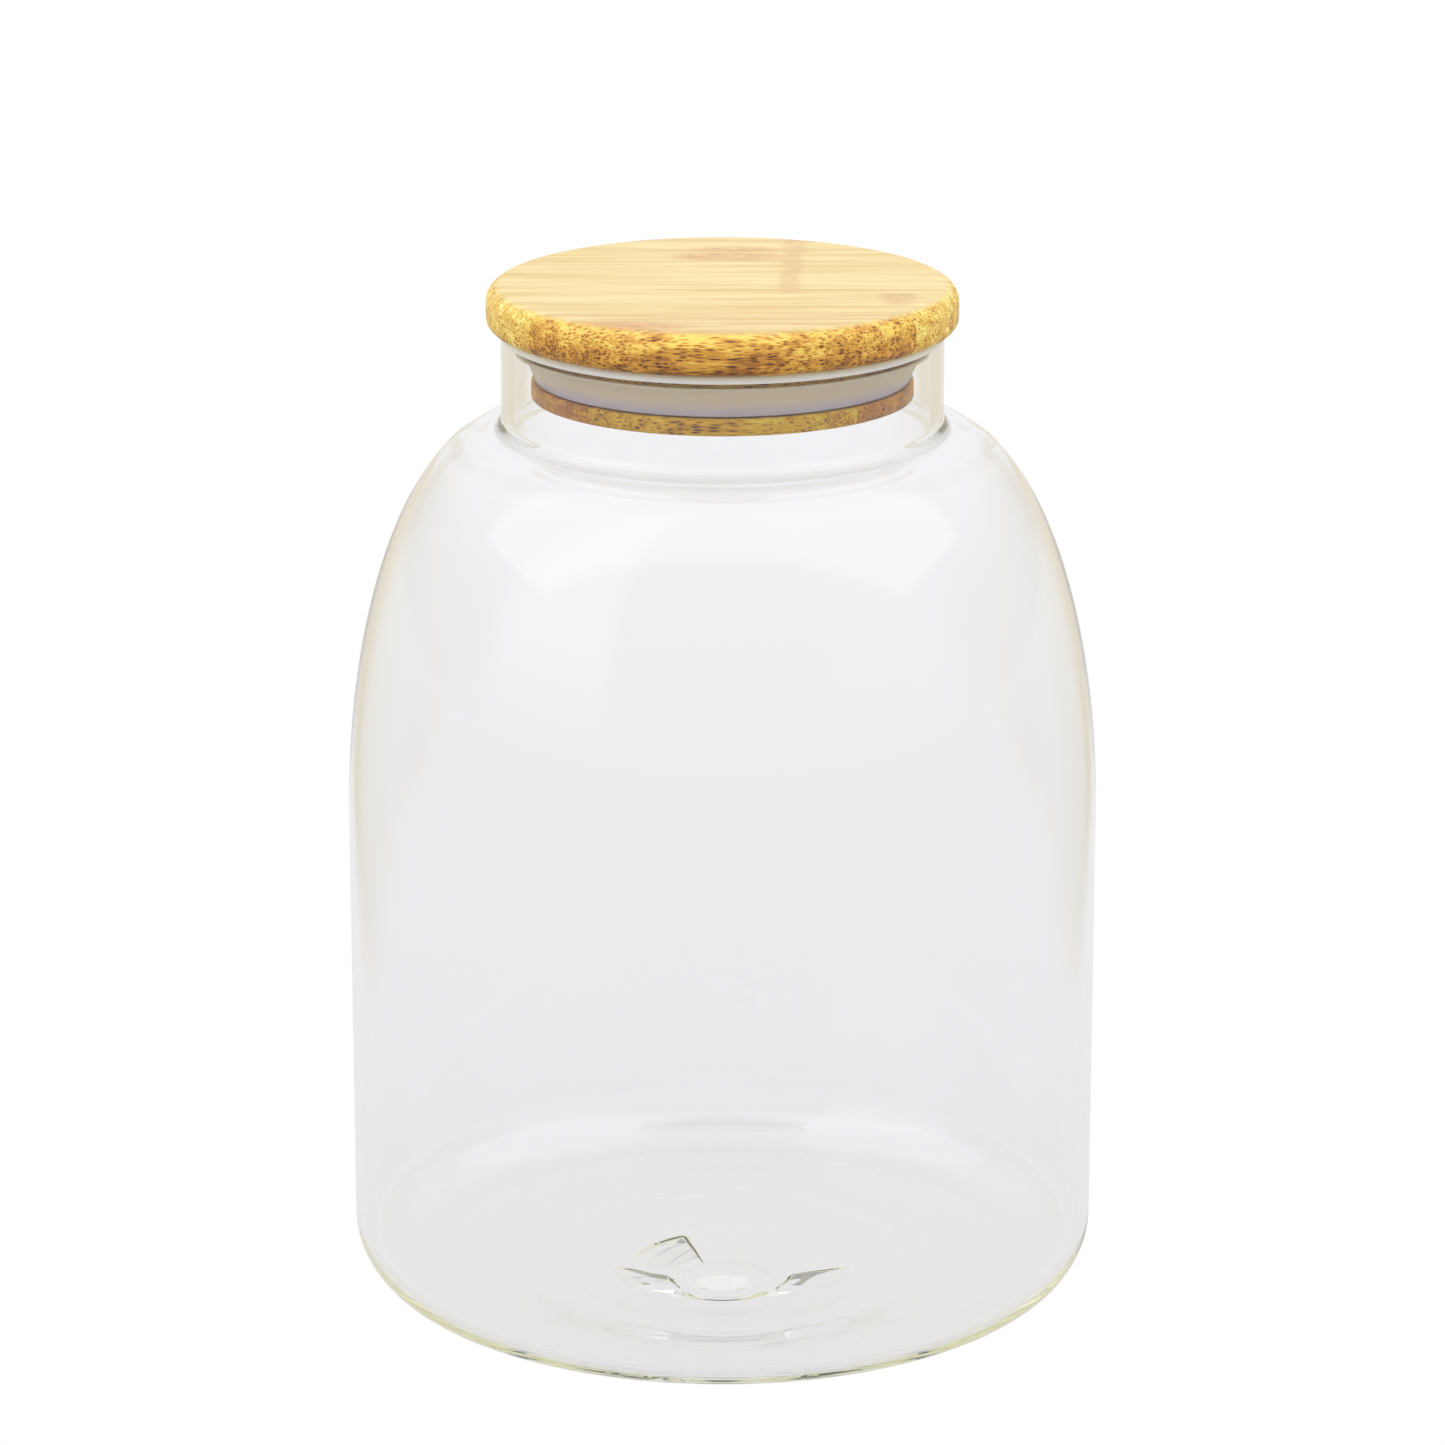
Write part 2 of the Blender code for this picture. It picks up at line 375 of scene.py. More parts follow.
def draw_section(name, points):
    """Draws a chain of edges through points (radius, height) by extruding one corner."""
    bpy.ops.object.select_all(action="DESELECT")
    bpy.ops.mesh.primitive_plane_add(size=MM, location=(points[0][0], 0, points[0][1]))
    piece = bpy.context.object
    piece.name = name
    piece.data.name = name
    bpy.ops.object.transform_apply(location=True, rotation=False, scale=False)
    bpy.ops.object.mode_set(mode="EDIT")
    bpy.ops.mesh.select_all(action="SELECT")
    bpy.ops.mesh.merge(type="CENTER")
    for here, there in zip(points, points[1:]):
        step = (there[0] - here[0], 0, there[1] - here[1])
        bpy.ops.mesh.extrude_vertices_move(TRANSFORM_OT_translate={"value": step})
    return piece


def turn(name, points, segments):
    """A solid of revolution about the Z axis from a section that is closed or ends on the axis."""
    piece = draw_section(name, points)
    bpy.ops.mesh.select_all(action="SELECT")
    bpy.ops.mesh.spin(steps=segments, angle=2 * math.pi, center=(0, 0, 0), axis=(0, 0, 1))
    bpy.ops.mesh.select_all(action="SELECT")
    bpy.ops.mesh.remove_doubles(threshold=DOUBLES_DISTANCE)
    bpy.ops.mesh.normals_make_consistent(inside=False)
    bpy.ops.object.mode_set(mode="OBJECT")
    bpy.ops.object.shade_smooth_by_angle(angle=SMOOTH_ANGLE)
    print(name, "has", len(piece.data.polygons), "faces")
    return piece


# %% [markdown]
# ## The jar's outside
#
# The outside starts under the middle of the base. The middle is pushed up so that the jar doesn't rock on
# the scar of the blowing iron, and the push leaves a small step where the jar starts to stand. The corner
# is a quarter of an ellipse, the wall is straight, and the shoulder is most of a tall quarter ellipse.
# Slow rings under the neck are where the glass was pulled in while it was soft.

# %% Draw the outside of the jar
jar_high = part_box("glass_jar")[1]
BODY_RADIUS = jar_high.x
RIM_Z = jar_high.z
NECK_RADIUS = 56.4 * MM
SHOULDER_FOOT_Z = 128 * MM
SHOULDER_TOP_Z = 230 * MM
NECK_ROOT_FILLET = 2.5 * MM
NECK_WALL = 3.2 * MM
CORNER_WIDTH = 19.3 * MM
CORNER_HEIGHT = 18 * MM
STANDING_EDGE = BODY_RADIUS - CORNER_WIDTH  # where the base leaves the table
PUNT_RADIUS = 48 * MM  # the pushed-up middle
PUNT_STEP = 0.4 * MM
PUNT_STEP_WIDTH = 7 * MM
PUNT_RISE = 3 * MM
UNDER_RINGS = ((25 * MM, 4 * MM, 0.25 * MM), (13 * MM, 2.5 * MM, -0.2 * MM))
SHOULDER_RINGS = (
    (62.5 * MM, 1.8 * MM, 0.1 * MM),
    (66.3 * MM, 1.8 * MM, -0.13 * MM),
    (70.3 * MM, 1.8 * MM, 0.2 * MM),
)  # radius, half width and height, as in the other two sets of rings
RING_FREE_MIDDLE = 8 * MM  # the rings of the underside fade out inside this radius
WALL_END = 0.3 * MM  # how far the last ring of a straight wall is from the wall's end


def smooth_step(value, start, end):
    """0 at start and 1 at end, with a soft curve between them."""
    t = min(max((value - start) / (end - start), 0.0), 1.0)
    return t * t * (3 - 2 * t)


def cosine_hill(r, radius):
    """A round hill, 1 in the middle and 0 from its radius outwards."""
    return 0.5 + 0.5 * math.cos(math.pi * min(r / radius, 1.0))


def rings(r, waves):
    """The height of some round ripples at a radius."""
    return sum(height * math.exp(-(((r - place) / width) ** 2)) for place, width, height in waves)


def even(start, end, count):
    """Values at even steps from start to end, both included."""
    return [start + (end - start) * i / count for i in range(count + 1)]


def straight_wall(r, start, end, count=6):
    """Rings along an upright wall, the outer two close to its ends, so that its shading stays straight."""
    margin = math.copysign(WALL_END, end - start)
    return [(r, z) for z in even(start + margin, end - margin, count)]


def underside(r):
    """The height of the base's underside: a step, a dome and rings."""
    step = PUNT_STEP * smooth_step(r, PUNT_RADIUS + PUNT_STEP_WIDTH / 2, PUNT_RADIUS - PUNT_STEP_WIDTH / 2)
    dome = (PUNT_RISE - PUNT_STEP) * cosine_hill(r, PUNT_RADIUS)
    return step + dome + rings(r, UNDER_RINGS) * smooth_step(r, 0, RING_FREE_MIDDLE)


def rippled_shoulder(points):
    """Lifts the points of the shoulder by the soft rings under the neck."""
    return [(r, z + rings(r, SHOULDER_RINGS)) for r, z in points]


def jar_outside():
    base = [(r, underside(r)) for r in even(0, PUNT_RADIUS + PUNT_STEP_WIDTH, 66)]
    corner = arc((STANDING_EDGE, CORNER_HEIGHT), (CORNER_WIDTH, CORNER_HEIGHT), -90, 0, 30)
    wall = straight_wall(BODY_RADIUS, CORNER_HEIGHT, SHOULDER_FOOT_Z)
    reach = BODY_RADIUS - NECK_RADIUS
    rise = SHOULDER_TOP_Z - SHOULDER_FOOT_Z
    shoulder = rippled_shoulder(arc((NECK_RADIUS, SHOULDER_FOOT_Z), (reach, rise), 0, 86, 90))
    root_centre = (NECK_RADIUS + NECK_ROOT_FILLET, SHOULDER_TOP_Z + NECK_ROOT_FILLET)
    root = arc(root_centre, (NECK_ROOT_FILLET, NECK_ROOT_FILLET), 250, 180, 8)
    neck = straight_wall(NECK_RADIUS, root[-1][1], RIM_Z - NECK_WALL / 2)
    return base + corner + wall + shoulder + root + neck


print("jar outside has", len(jar_outside()), "points")

# %% [markdown]
# ## The jar's inside
#
# The wall is two millimetres thick in the body, where the bubble was blown out furthest, and over three
# in the neck. The rim was melted round in a flame. The base corner keeps a nearly even wall too, so no
# dark wedge shows in it, and the floor only thickens towards the middle, where the glass was held. The
# drop that was left there works as a small lens.

# %% Draw the inside of the jar
BODY_WALL = 2.2 * MM
FLOOR_THICKNESS = 2.8 * MM  # at its edge
FLOOR_RISE = 3.7 * MM
GATHER_RADIUS = 9 * MM
GATHER_RISE = 1.2 * MM
FLOOR_RINGS = ((24 * MM, 4 * MM, 0.25 * MM), (12.5 * MM, 2.4 * MM, -0.25 * MM))


def jar_rim():
    half_wall = NECK_WALL / 2
    return arc((NECK_RADIUS - half_wall, RIM_Z - half_wall), (half_wall, half_wall), 0, 180, 18)


def floor_height(r):
    """The height of the jar's floor inside: a dome, the drop on it and rings."""
    dome = FLOOR_RISE * cosine_hill(r, STANDING_EDGE)
    gather = GATHER_RISE * cosine_hill(r, GATHER_RADIUS)
    return FLOOR_THICKNESS + dome + gather + rings(r, FLOOR_RINGS)


def jar_inside():
    neck = NECK_RADIUS - NECK_WALL
    wall = BODY_RADIUS - BODY_WALL
    top = SHOULDER_TOP_Z - BODY_WALL
    root_centre = (NECK_RADIUS + NECK_ROOT_FILLET, SHOULDER_TOP_Z + NECK_ROOT_FILLET)
    upper = straight_wall(neck, RIM_Z - NECK_WALL / 2, root_centre[1])
    root = arc(root_centre, (root_centre[0] - neck, root_centre[1] - top), 180, 255, 16)
    shoulder = arc(
        (NECK_RADIUS, SHOULDER_FOOT_Z), (wall - NECK_RADIUS, top - SHOULDER_FOOT_Z), 86, 0, 60
    )
    sides = straight_wall(wall, SHOULDER_FOOT_Z, CORNER_HEIGHT)
    corner_radii = (wall - STANDING_EDGE, CORNER_HEIGHT - FLOOR_THICKNESS)
    corner = arc((STANDING_EDGE, CORNER_HEIGHT), corner_radii, 0, -90, 28)
    floor_points = [(r, floor_height(r)) for r in even(STANDING_EDGE, 0, 90)[1:]]
    return upper + root + shoulder + sides + corner + floor_points


JAR_SEGMENTS = 192
jar = turn("blown_glass_jar", jar_outside() + jar_rim() + jar_inside(), JAR_SEGMENTS)

# %% [markdown]
# ## The scar of the iron
#
# Where the iron was cracked off, a few shallow flat chips are left in the underside. Each is a patch of
# the underside, tilted about its outer side like a trap door. The side that rises makes a sharp step in
# the glass, which shows as a small dark shard next to the drop.

# %% Tilt the chips
CHIPS = (  # two angles in degrees, two radii, the x of the hinge and the rise, in mm
    (184, 214, 14, 28, -28, 2.2),
    (116, 170, 12, 24, -24, 1.6),
    (322, 352, 18, 34, 34, 2.0),
)
UNDERSIDE_LIMIT = 4.5 * MM
FACING_DOWN = -0.7  # a corner whose normal's z is below this is on the underside
HINGE_HEIGHT = 2 * MM


def nothing_selected(piece):
    """Makes the piece active and deselects all of its mesh."""
    bpy.ops.object.select_all(action="DESELECT")
    piece.select_set(True)
    bpy.context.view_layer.objects.active = piece
    bpy.ops.object.mode_set(mode="EDIT")
    bpy.ops.mesh.select_all(action="DESELECT")
    bpy.ops.object.mode_set(mode="OBJECT")


def select_corners(piece, indices):
    """Selects some corners of the mesh and leaves the piece in edit mode."""
    nothing_selected(piece)
    for index in indices:
        piece.data.vertices[index].select = True
    bpy.ops.object.mode_set(mode="EDIT")


underside_corners = [
    (corner.index, math.degrees(math.atan2(corner.co.y, corner.co.x)) % 360, corner.co.xy.length / MM)
    for corner in jar.data.vertices
    if corner.normal.z < FACING_DOWN and corner.co.z < UNDERSIDE_LIMIT
]
for first, last, inner, outer, hinge, rise in CHIPS:
    chosen = [
        index for index, angle, r in underside_corners if first <= angle <= last and inner <= r <= outer
    ]
    select_corners(jar, chosen)
    tilt = math.copysign(math.atan(rise / (outer - inner)), -hinge)
    bpy.ops.transform.rotate(
        value=tilt, orient_axis="Y", center_override=(hinge * MM, 0, HINGE_HEIGHT)
    )
    bpy.ops.object.mode_set(mode="OBJECT")
    top = max(jar.data.vertices[index].co.z for index in chosen)
    print("a chip of", len(chosen), "corners, now up to", round(top / MM, 2), "mm")

# %% [markdown]
# ## The drop is off centre
#
# A blower cracks the jar off the iron by hand, so the drop never sits exactly on the axis. The two
# corners on the axis, one on each face of the glass, are dragged towards the front with proportional
# editing, and the rings and chips around them follow less and less.

# %% Drag the drop towards the front
DROP_SHIFT = 25 * MM
DRAG_REACH = 47 * MM
ON_THE_AXIS = 0.1 * MM

on_axis = [corner.index for corner in jar.data.vertices if corner.co.xy.length < ON_THE_AXIS]
select_corners(jar, on_axis)
bpy.ops.transform.translate(
    value=(0, -DROP_SHIFT, 0),
    use_proportional_edit=True,
    proportional_edit_falloff="SMOOTH",
    proportional_size=DRAG_REACH,
)
bpy.ops.object.mode_set(mode="OBJECT")
print("moved", len(on_axis), "corners towards the front by", round(DROP_SHIFT / MM, 1), "mm")

# %% [markdown]
# ## The sealing ring
#
# The ring is moulded silicone. Its body is a cone that sits in the plug's groove, and its thin lip
# bends outwards and up until it nearly meets the neck. It is one closed section, spun round.

# %% Turn the sealing ring
seal_low, seal_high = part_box("silicone_seal")
SEAL_BORE = 44.3 * MM
SEAL_FOOT_RADIUS = 47.8 * MM
SEAL_SHOULDER_RADIUS = 50.3 * MM
LIP_RISE = 1.3 * MM
SEAL_SHOULDER_Z = seal_high.z - LIP_RISE
LIP_REACH = seal_high.x
LIP_THICKNESS = 0.9 * MM
FOOT_ROUND = 0.5 * MM


def seal_section():
    foot_centre = (SEAL_FOOT_RADIUS - FOOT_ROUND, seal_low.z + FOOT_ROUND)
    foot = arc(foot_centre, (FOOT_ROUND, FOOT_ROUND), -90, -8, 6)
    lip_base = (SEAL_SHOULDER_RADIUS, SEAL_SHOULDER_Z - LIP_THICKNESS)
    half_lip = LIP_THICKNESS / 2
    tip = arc((LIP_REACH - half_lip, seal_high.z - half_lip), (half_lip, half_lip), -50, 130, 8)
    lip_root = (SEAL_SHOULDER_RADIUS, SEAL_SHOULDER_Z)
    return [(SEAL_BORE, SEAL_SHOULDER_Z), (SEAL_BORE, seal_low.z), *foot, lip_base, *tip, lip_root,
            (SEAL_BORE, SEAL_SHOULDER_Z)]


LID_SEGMENTS = 160
seal = turn("sealing_ring", seal_section(), LID_SEGMENTS)

# %% [markdown]
# ## The lid
#
# The lid is turned from a board of two plies, each glued up from five bamboo strips. The upper ply
# becomes the cap and the lower one the plug. Each is turned as a whole disc first, and then cut along its
# glue lines with bisect, which fills each cut. Every strip is its own piece with its own mesh.

# %% Turn the cap and the plug
cap_low, cap_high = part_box("lid_cap_strip_3")
plug_low, plug_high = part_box("lid_plug_strip_3")
CAP_RADIUS = cap_high.x
CAP_TOP_ROUND = 4.4 * MM
CAP_UNDER_ROUND = 3 * MM
FLANGE_RADIUS = 48.7 * MM
FLANGE_ROUND = 0.7 * MM
PLUG_RADIUS = 50 * MM
GROOVE_RADIUS = 44 * MM
FLANGE_HEIGHT = 4.4 * MM
GROOVE_HEIGHT = 7.7 * MM
GROOVE_FOOT_Z = plug_low.z + FLANGE_HEIGHT
GROOVE_TOP_Z = GROOVE_FOOT_Z + GROOVE_HEIGHT


def cap_section():
    lower_centre = (CAP_RADIUS - CAP_UNDER_ROUND, cap_low.z + CAP_UNDER_ROUND)
    lower = arc(lower_centre, (CAP_UNDER_ROUND, CAP_UNDER_ROUND), -90, 0, 10)
    upper_centre = (CAP_RADIUS - CAP_TOP_ROUND, cap_high.z - CAP_TOP_ROUND)
    upper = arc(upper_centre, (CAP_TOP_ROUND, CAP_TOP_ROUND), 0, 90, 14)
    return [(0, cap_low.z), *lower, *upper, (0, cap_high.z)]


def plug_section():
    edge = FLANGE_RADIUS - FLANGE_ROUND
    lower = arc((edge, plug_low.z + FLANGE_ROUND), (FLANGE_ROUND, FLANGE_ROUND), -90, 0, 5)
    upper = arc((edge, GROOVE_FOOT_Z - FLANGE_ROUND), (FLANGE_ROUND, FLANGE_ROUND), 0, 90, 5)
    groove = [(GROOVE_RADIUS, GROOVE_FOOT_Z), (GROOVE_RADIUS, GROOVE_TOP_Z)]
    root = [(PLUG_RADIUS, GROOVE_TOP_Z), (PLUG_RADIUS, plug_high.z), (0, plug_high.z)]
    return [(0, plug_low.z), *lower, *upper, *groove, *root]


cap_disc = turn("cap_disc", cap_section(), LID_SEGMENTS)
plug_disc = turn("plug_disc", plug_section(), LID_SEGMENTS)

# %% Cut the discs along their glue lines
STRIP_COUNT = 5


def glue_line(ply, index):
    """The y of the glue line between a strip and the next one, from the gap between their boxes."""
    return (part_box(f"{ply}_strip_{index}")[1].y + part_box(f"{ply}_strip_{index + 1}")[0].y) / 2


def cut_away(y, side):
    """Cuts the mesh in edit mode at y and removes what lies on that side of it."""
    bpy.ops.mesh.select_all(action="SELECT")
    bpy.ops.mesh.bisect(
        plane_co=(0, y, 0), plane_no=(0, side, 0), use_fill=True, clear_outer=True
    )


def cut_strips(disc, ply, name):
    """Copies a turned disc once for each strip, keeps that strip of each copy and removes the disc."""
    strips = []
    for index in range(1, STRIP_COUNT + 1):
        bpy.ops.object.select_all(action="DESELECT")
        disc.select_set(True)
        bpy.context.view_layer.objects.active = disc
        bpy.ops.object.duplicate()
        strip = bpy.context.object
        strip.name = f"{name}_{index}"
        bpy.ops.object.mode_set(mode="EDIT")
        if index > 1:
            cut_away(glue_line(ply, index - 1), -1)
        if index < STRIP_COUNT:
            cut_away(glue_line(ply, index), 1)
        bpy.ops.object.mode_set(mode="OBJECT")
        bpy.ops.object.shade_smooth_by_angle(angle=SMOOTH_ANGLE)
        strips.append(strip)
    bpy.data.objects.remove(disc)
    print(name, "strips:", [len(strip.data.polygons) for strip in strips], "faces")
    return strips


cap_strips = cut_strips(cap_disc, "lid_cap", "bamboo_cap")
plug_strips = cut_strips(plug_disc, "lid_plug", "bamboo_plug")

# %% [markdown]
# ## Blown borosilicate glass
#
# Borosilicate bends light a little less than window glass, with an index of refraction of 1.47. It was
# never ground or polished: the surface froze from the melt, so it is perfectly smooth. Only its rim is
# made milky, as a painted reflection. A wall of two millimetres looks colourless. Iron in the sand only
# shows where light runs a long way inside the glass, at the edges and in the base, as a warm tint. That
# is absorption in the volume, with blue taken away fastest.

# %% Glass
GLASS_IOR = 1.47
GLASS_TINT = (0.76, 0.74, 0.25, 1)
GLASS_DENSITY = 6.0
CLEAR = (1, 1, 1, 1)


def borosilicate(name, colour, roughness, transmission):
    """The same glass with another surface: how rough it is, and how much of the light gets through."""
    material = bpy.data.materials.new(name)
    tree = new_tree(material)
    surface = add_node(
        tree,
        "ShaderNodeBsdfPrincipled",
        {
            "Base Color": colour,
            "Roughness": roughness,
            "IOR": GLASS_IOR,
            "Transmission Weight": transmission,
        },
    )
    tint = add_node(tree, "ShaderNodeVolumeAbsorption", {"Color": GLASS_TINT, "Density": GLASS_DENSITY})
    add_node(
        tree,
        "ShaderNodeOutputMaterial",
        links={"Surface": surface.outputs[0], "Volume": tint.outputs[0]},
    )
    return material


jar.data.materials.append(borosilicate("blown_borosilicate_glass", CLEAR, 0.0, 1.0))
print("glass with an index of refraction of", GLASS_IOR)

# %% [markdown]
# ## The rim's painted reflection
#
# The top of the neck is a clear bead, melted round in the flame, and it bends and reflects the bright
# studio into a white band under the lid. That band is painted reflection: the last two or three
# millimetres are made milky, so most of the light is scattered and a quarter still gets through. They
# catch the studio's light, and show as the white band.

# %% Rim
RIM_BAND = 2.4 * MM
RIM_REFLECTION_WHITE = (0.98, 0.98, 0.94, 1)

# painted reflection: a milky white rim stands for the bright band that the clear bead reflects
jar.data.materials.append(borosilicate("glass_rim_with_painted_reflection", RIM_REFLECTION_WHITE, 0.3, 0.25))
rim_faces = [face for face in jar.data.polygons if face.center.z > RIM_Z - RIM_BAND]
for face in rim_faces:
    face.material_index = 1
print("the ground rim has", len(rim_faces), "faces")

# %% [markdown]
# ## Moulded silicone
#
# White silicone lets some light in, which comes out again a millimetre or two further on, so its
# shadows are soft. The ring itself is white. Its colour has painted shade at its foot, a cool grey, and
# higher up, next to the cap, a painted warm reflection of the bamboo; it goes from one to the other
# over its lower part. The surface is satin from the mould.

# %% Silicone
SHADED_FOOT_SILICONE = "#DAD2DF"
BAMBOO_REFLECTION_SILICONE = "#FBE8C8"
SHADE_TO_REFLECTION_HEIGHT = 5 * MM


def moulded_silicone():
    material = bpy.data.materials.new("moulded_white_silicone")
    tree = new_tree(material)
    place = add_node(tree, "ShaderNodeTexCoord")
    axes = add_node(tree, "ShaderNodeSeparateXYZ", links={0: place.outputs["Object"]})
    # painted shade at the ring's foot, blending into a painted warm reflection of the bamboo above
    height = mask(tree, [(axes.outputs["Z"], seal_low.z, seal_low.z + SHADE_TO_REFLECTION_HEIGHT)])
    colour = add_node(
        tree,
        "ShaderNodeMix",
        {"data_type": "RGBA", 6: linear(SHADED_FOOT_SILICONE), 7: linear(BAMBOO_REFLECTION_SILICONE)},
        {0: height},
    )
    surface = add_node(
        tree,
        "ShaderNodeBsdfPrincipled",
        {
            "Roughness": 0.4,
            "IOR": 1.41,
            "Subsurface Weight": 0.3,
            "Subsurface Radius": (1.0, 0.8, 0.6),
            "Subsurface Scale": 2 * MM,
        },
        {"Base Color": colour.outputs[2]},
    )
    add_node(tree, "ShaderNodeOutputMaterial", links={"Surface": surface.outputs[0]})
    return material


seal.data.materials.append(moulded_silicone())
print("the ring warms over its lower", round(SHADE_TO_REFLECTION_HEIGHT / MM, 1), "mm")

# %% [markdown]
# ## Bamboo
#
# Bamboo has no growth rings. It is pale pith with bundles of dark fibre running straight along it. Sanded
# flat, the bundles show as long fine streaks. Cut across, as on the turned edge, they show as dots. So
# the pattern is made in three dimensions: cells about seven times longer along the grain than across it
# give dots at the ends and dashes at the front without any switch between them.
#
# The bundles are about 0.65 mm apart, which is just coarse enough to show from one and a half metres.
# Every size below is in millimetres along x, which is the grain, y and z.

# %% Helpers for the bamboo
BUNDLE_SIZE = (4.5, 0.65, 0.65)
WANDER_SIZE = (45, 9, 9)
WANDER = 2.5 * MM


def pattern_place(tree, vector, size, shift):
    """Where a point is in a pattern whose features have this size in mm."""
    return add_node(
        tree,
        "ShaderNodeMapping",
        {"Location": shift, "Scale": [1 / (side * MM) for side in size]},
        {"Vector": vector},
    ).outputs[0]


def grain(tree, vector, size, shift, detail=2.0):
    """Uneven growth with features of this size in mm, as a noise node."""
    return add_node(
        tree,
        "ShaderNodeTexNoise",
        {"Scale": 1.0, "Detail": detail, "Roughness": 0.6},
        {"Vector": pattern_place(tree, vector, size, shift)},
    )


def blend_of(tree, start, terms):
    """Adds several patterns, each times its weight, to a starting number."""
    total = None
    for pattern, weight in terms:
        step = add_node(
            tree, "ShaderNodeMath", {"operation": "MULTIPLY_ADD", 1: weight, 2: start}, {0: pattern}
        )
        if total is not None:
            tree.links.new(total, step.inputs[2])
        total = step.outputs[0]
    return total


def tone_scale(tree, value, colours, start=0.0, end=1.0):
    """Goes softly through hex colours, one after the other, while the value goes from start to end."""
    width = (end - start) / (len(colours) - 1)
    result = None
    for index, (before, after) in enumerate(zip(colours, colours[1:])):
        amount = mask(tree, [(value, start + index * width, start + (index + 1) * width)])
        step = add_node(
            tree,
            "ShaderNodeMix",
            {"data_type": "RGBA", 6: linear(before), 7: linear(after)},
            {0: amount},
        )
        if result is not None:
            tree.links.new(result, step.inputs[6])
        result = step.outputs[2]
    return result


def bent_grain(tree, place, shift):
    """The coordinates, wandering a little to the side, because no culm is perfectly straight."""
    wander = grain(tree, place, WANDER_SIZE, shift)
    centred = add_node(
        tree,
        "ShaderNodeVectorMath",
        {"operation": "SUBTRACT", 1: (0.5, 0.5, 0.5)},
        {0: wander.outputs["Color"]},
    )
    return add_node(
        tree,
        "ShaderNodeVectorMath",
        {"operation": "MULTIPLY_ADD", 1: (0, WANDER, WANDER)},
        {0: centred.outputs[0], 2: place},
    ).outputs[0]


print("fibre bundles are", BUNDLE_SIZE[1], "mm apart and cut", BUNDLE_SIZE[0], "mm long")

# %% [markdown]
# ## The turned edge
#
# The lathe tool cut across the grain at the edge, which left open pores that drank more oil: the wood
# looks golden there, with dark brown specks. Its tone is a sum of patterns: each bundle has a tone of its
# own, patches and fine threads run along the grain, the upper side is lighter, and a pore is dark. The
# lighter upper side and darker foot are painted shade: the lower half of the round edge faces down,
# away from the light overhead.

# %% Tones of the turned edge
PORE = (0.5, 0.15)  # distances from a bundle's middle, in pattern sizes, where the pore ends and is full
PATCH_SIZE = (12, 4, 3)
EDGE_THREAD_SIZE = (6, 0.7, 0.35)
BUNDLE_WEIGHT = 0.3
PATCH_WEIGHT = 1.2
EDGE_THREAD_WEIGHT = 0.7
SHADE_HEIGHT_WEIGHT = 1.9  # times the painted shade at the edge's foot
PORE_WEIGHT = -0.5
EDGE_START = -0.44


def edge_tones(tree, place, bent, shift, tones, low_z, high_z, foot_shade):
    """The colour of the turned edge and how deep its pores are."""
    bundles = add_node(
        tree,
        "ShaderNodeTexVoronoi",
        {"Scale": 1.0, "Randomness": 0.75},
        {"Vector": pattern_place(tree, bent, BUNDLE_SIZE, shift)},
    )
    own_tone = add_node(tree, "ShaderNodeSeparateColor", links={0: bundles.outputs["Color"]})
    pore = mask(tree, [(bundles.outputs["Distance"], *PORE)])
    patches = grain(tree, bent, PATCH_SIZE, shift).outputs["Fac"]
    threads = grain(tree, bent, EDGE_THREAD_SIZE, shift, 3.0).outputs["Fac"]
    height = add_node(tree, "ShaderNodeSeparateXYZ", links={0: place}).outputs["Z"]
    # painted shade: the edge is lighter towards its top and darker at its foot, which faces down
    up = mask(tree, [(height, low_z, high_z)])
    tone = blend_of(tree, EDGE_START - foot_shade, (
        (own_tone.outputs[0], BUNDLE_WEIGHT),
        (patches, PATCH_WEIGHT),
        (threads, EDGE_THREAD_WEIGHT),
        (up, foot_shade * SHADE_HEIGHT_WEIGHT),
        (pore, PORE_WEIGHT),
    ))
    return tone_scale(tree, tone, tones), pore


print("the edge's tone is a sum of five patterns")

# %% [markdown]
# ## The flat face
#
# The lid's top was sanded along the grain, so it is smooth and pale, with fine streaks on broad bands.
# A culm has a knuckle every thirty centimetres, where the fibres cross over. Where one falls in a strip,
# it shows as a pinkish brown patch or a soft line across the strip, with short dark specks in it.

# %% Tones of the flat face
STREAK_SIZE = (45, 0.6, 0.6)
BAND_SIZE = (70, 4, 4)
STREAK_WEIGHT = 0.9
STREAK_RANGE = (0.7, 1.3)  # where the sum of bands and streaks is palest and darkest
THREAD_WEIGHT = 1.1
PATCH_BORDER = (1.1, 0.55)
PATCH_SHRINK = -0.55
SPECK_BORDER = (0.52, 0.6)
SPECK_STRENGTH = 0.75
KNUCKLE_COLOUR = "#DAAB72"
SPECK_COLOUR = "#8C5A28"


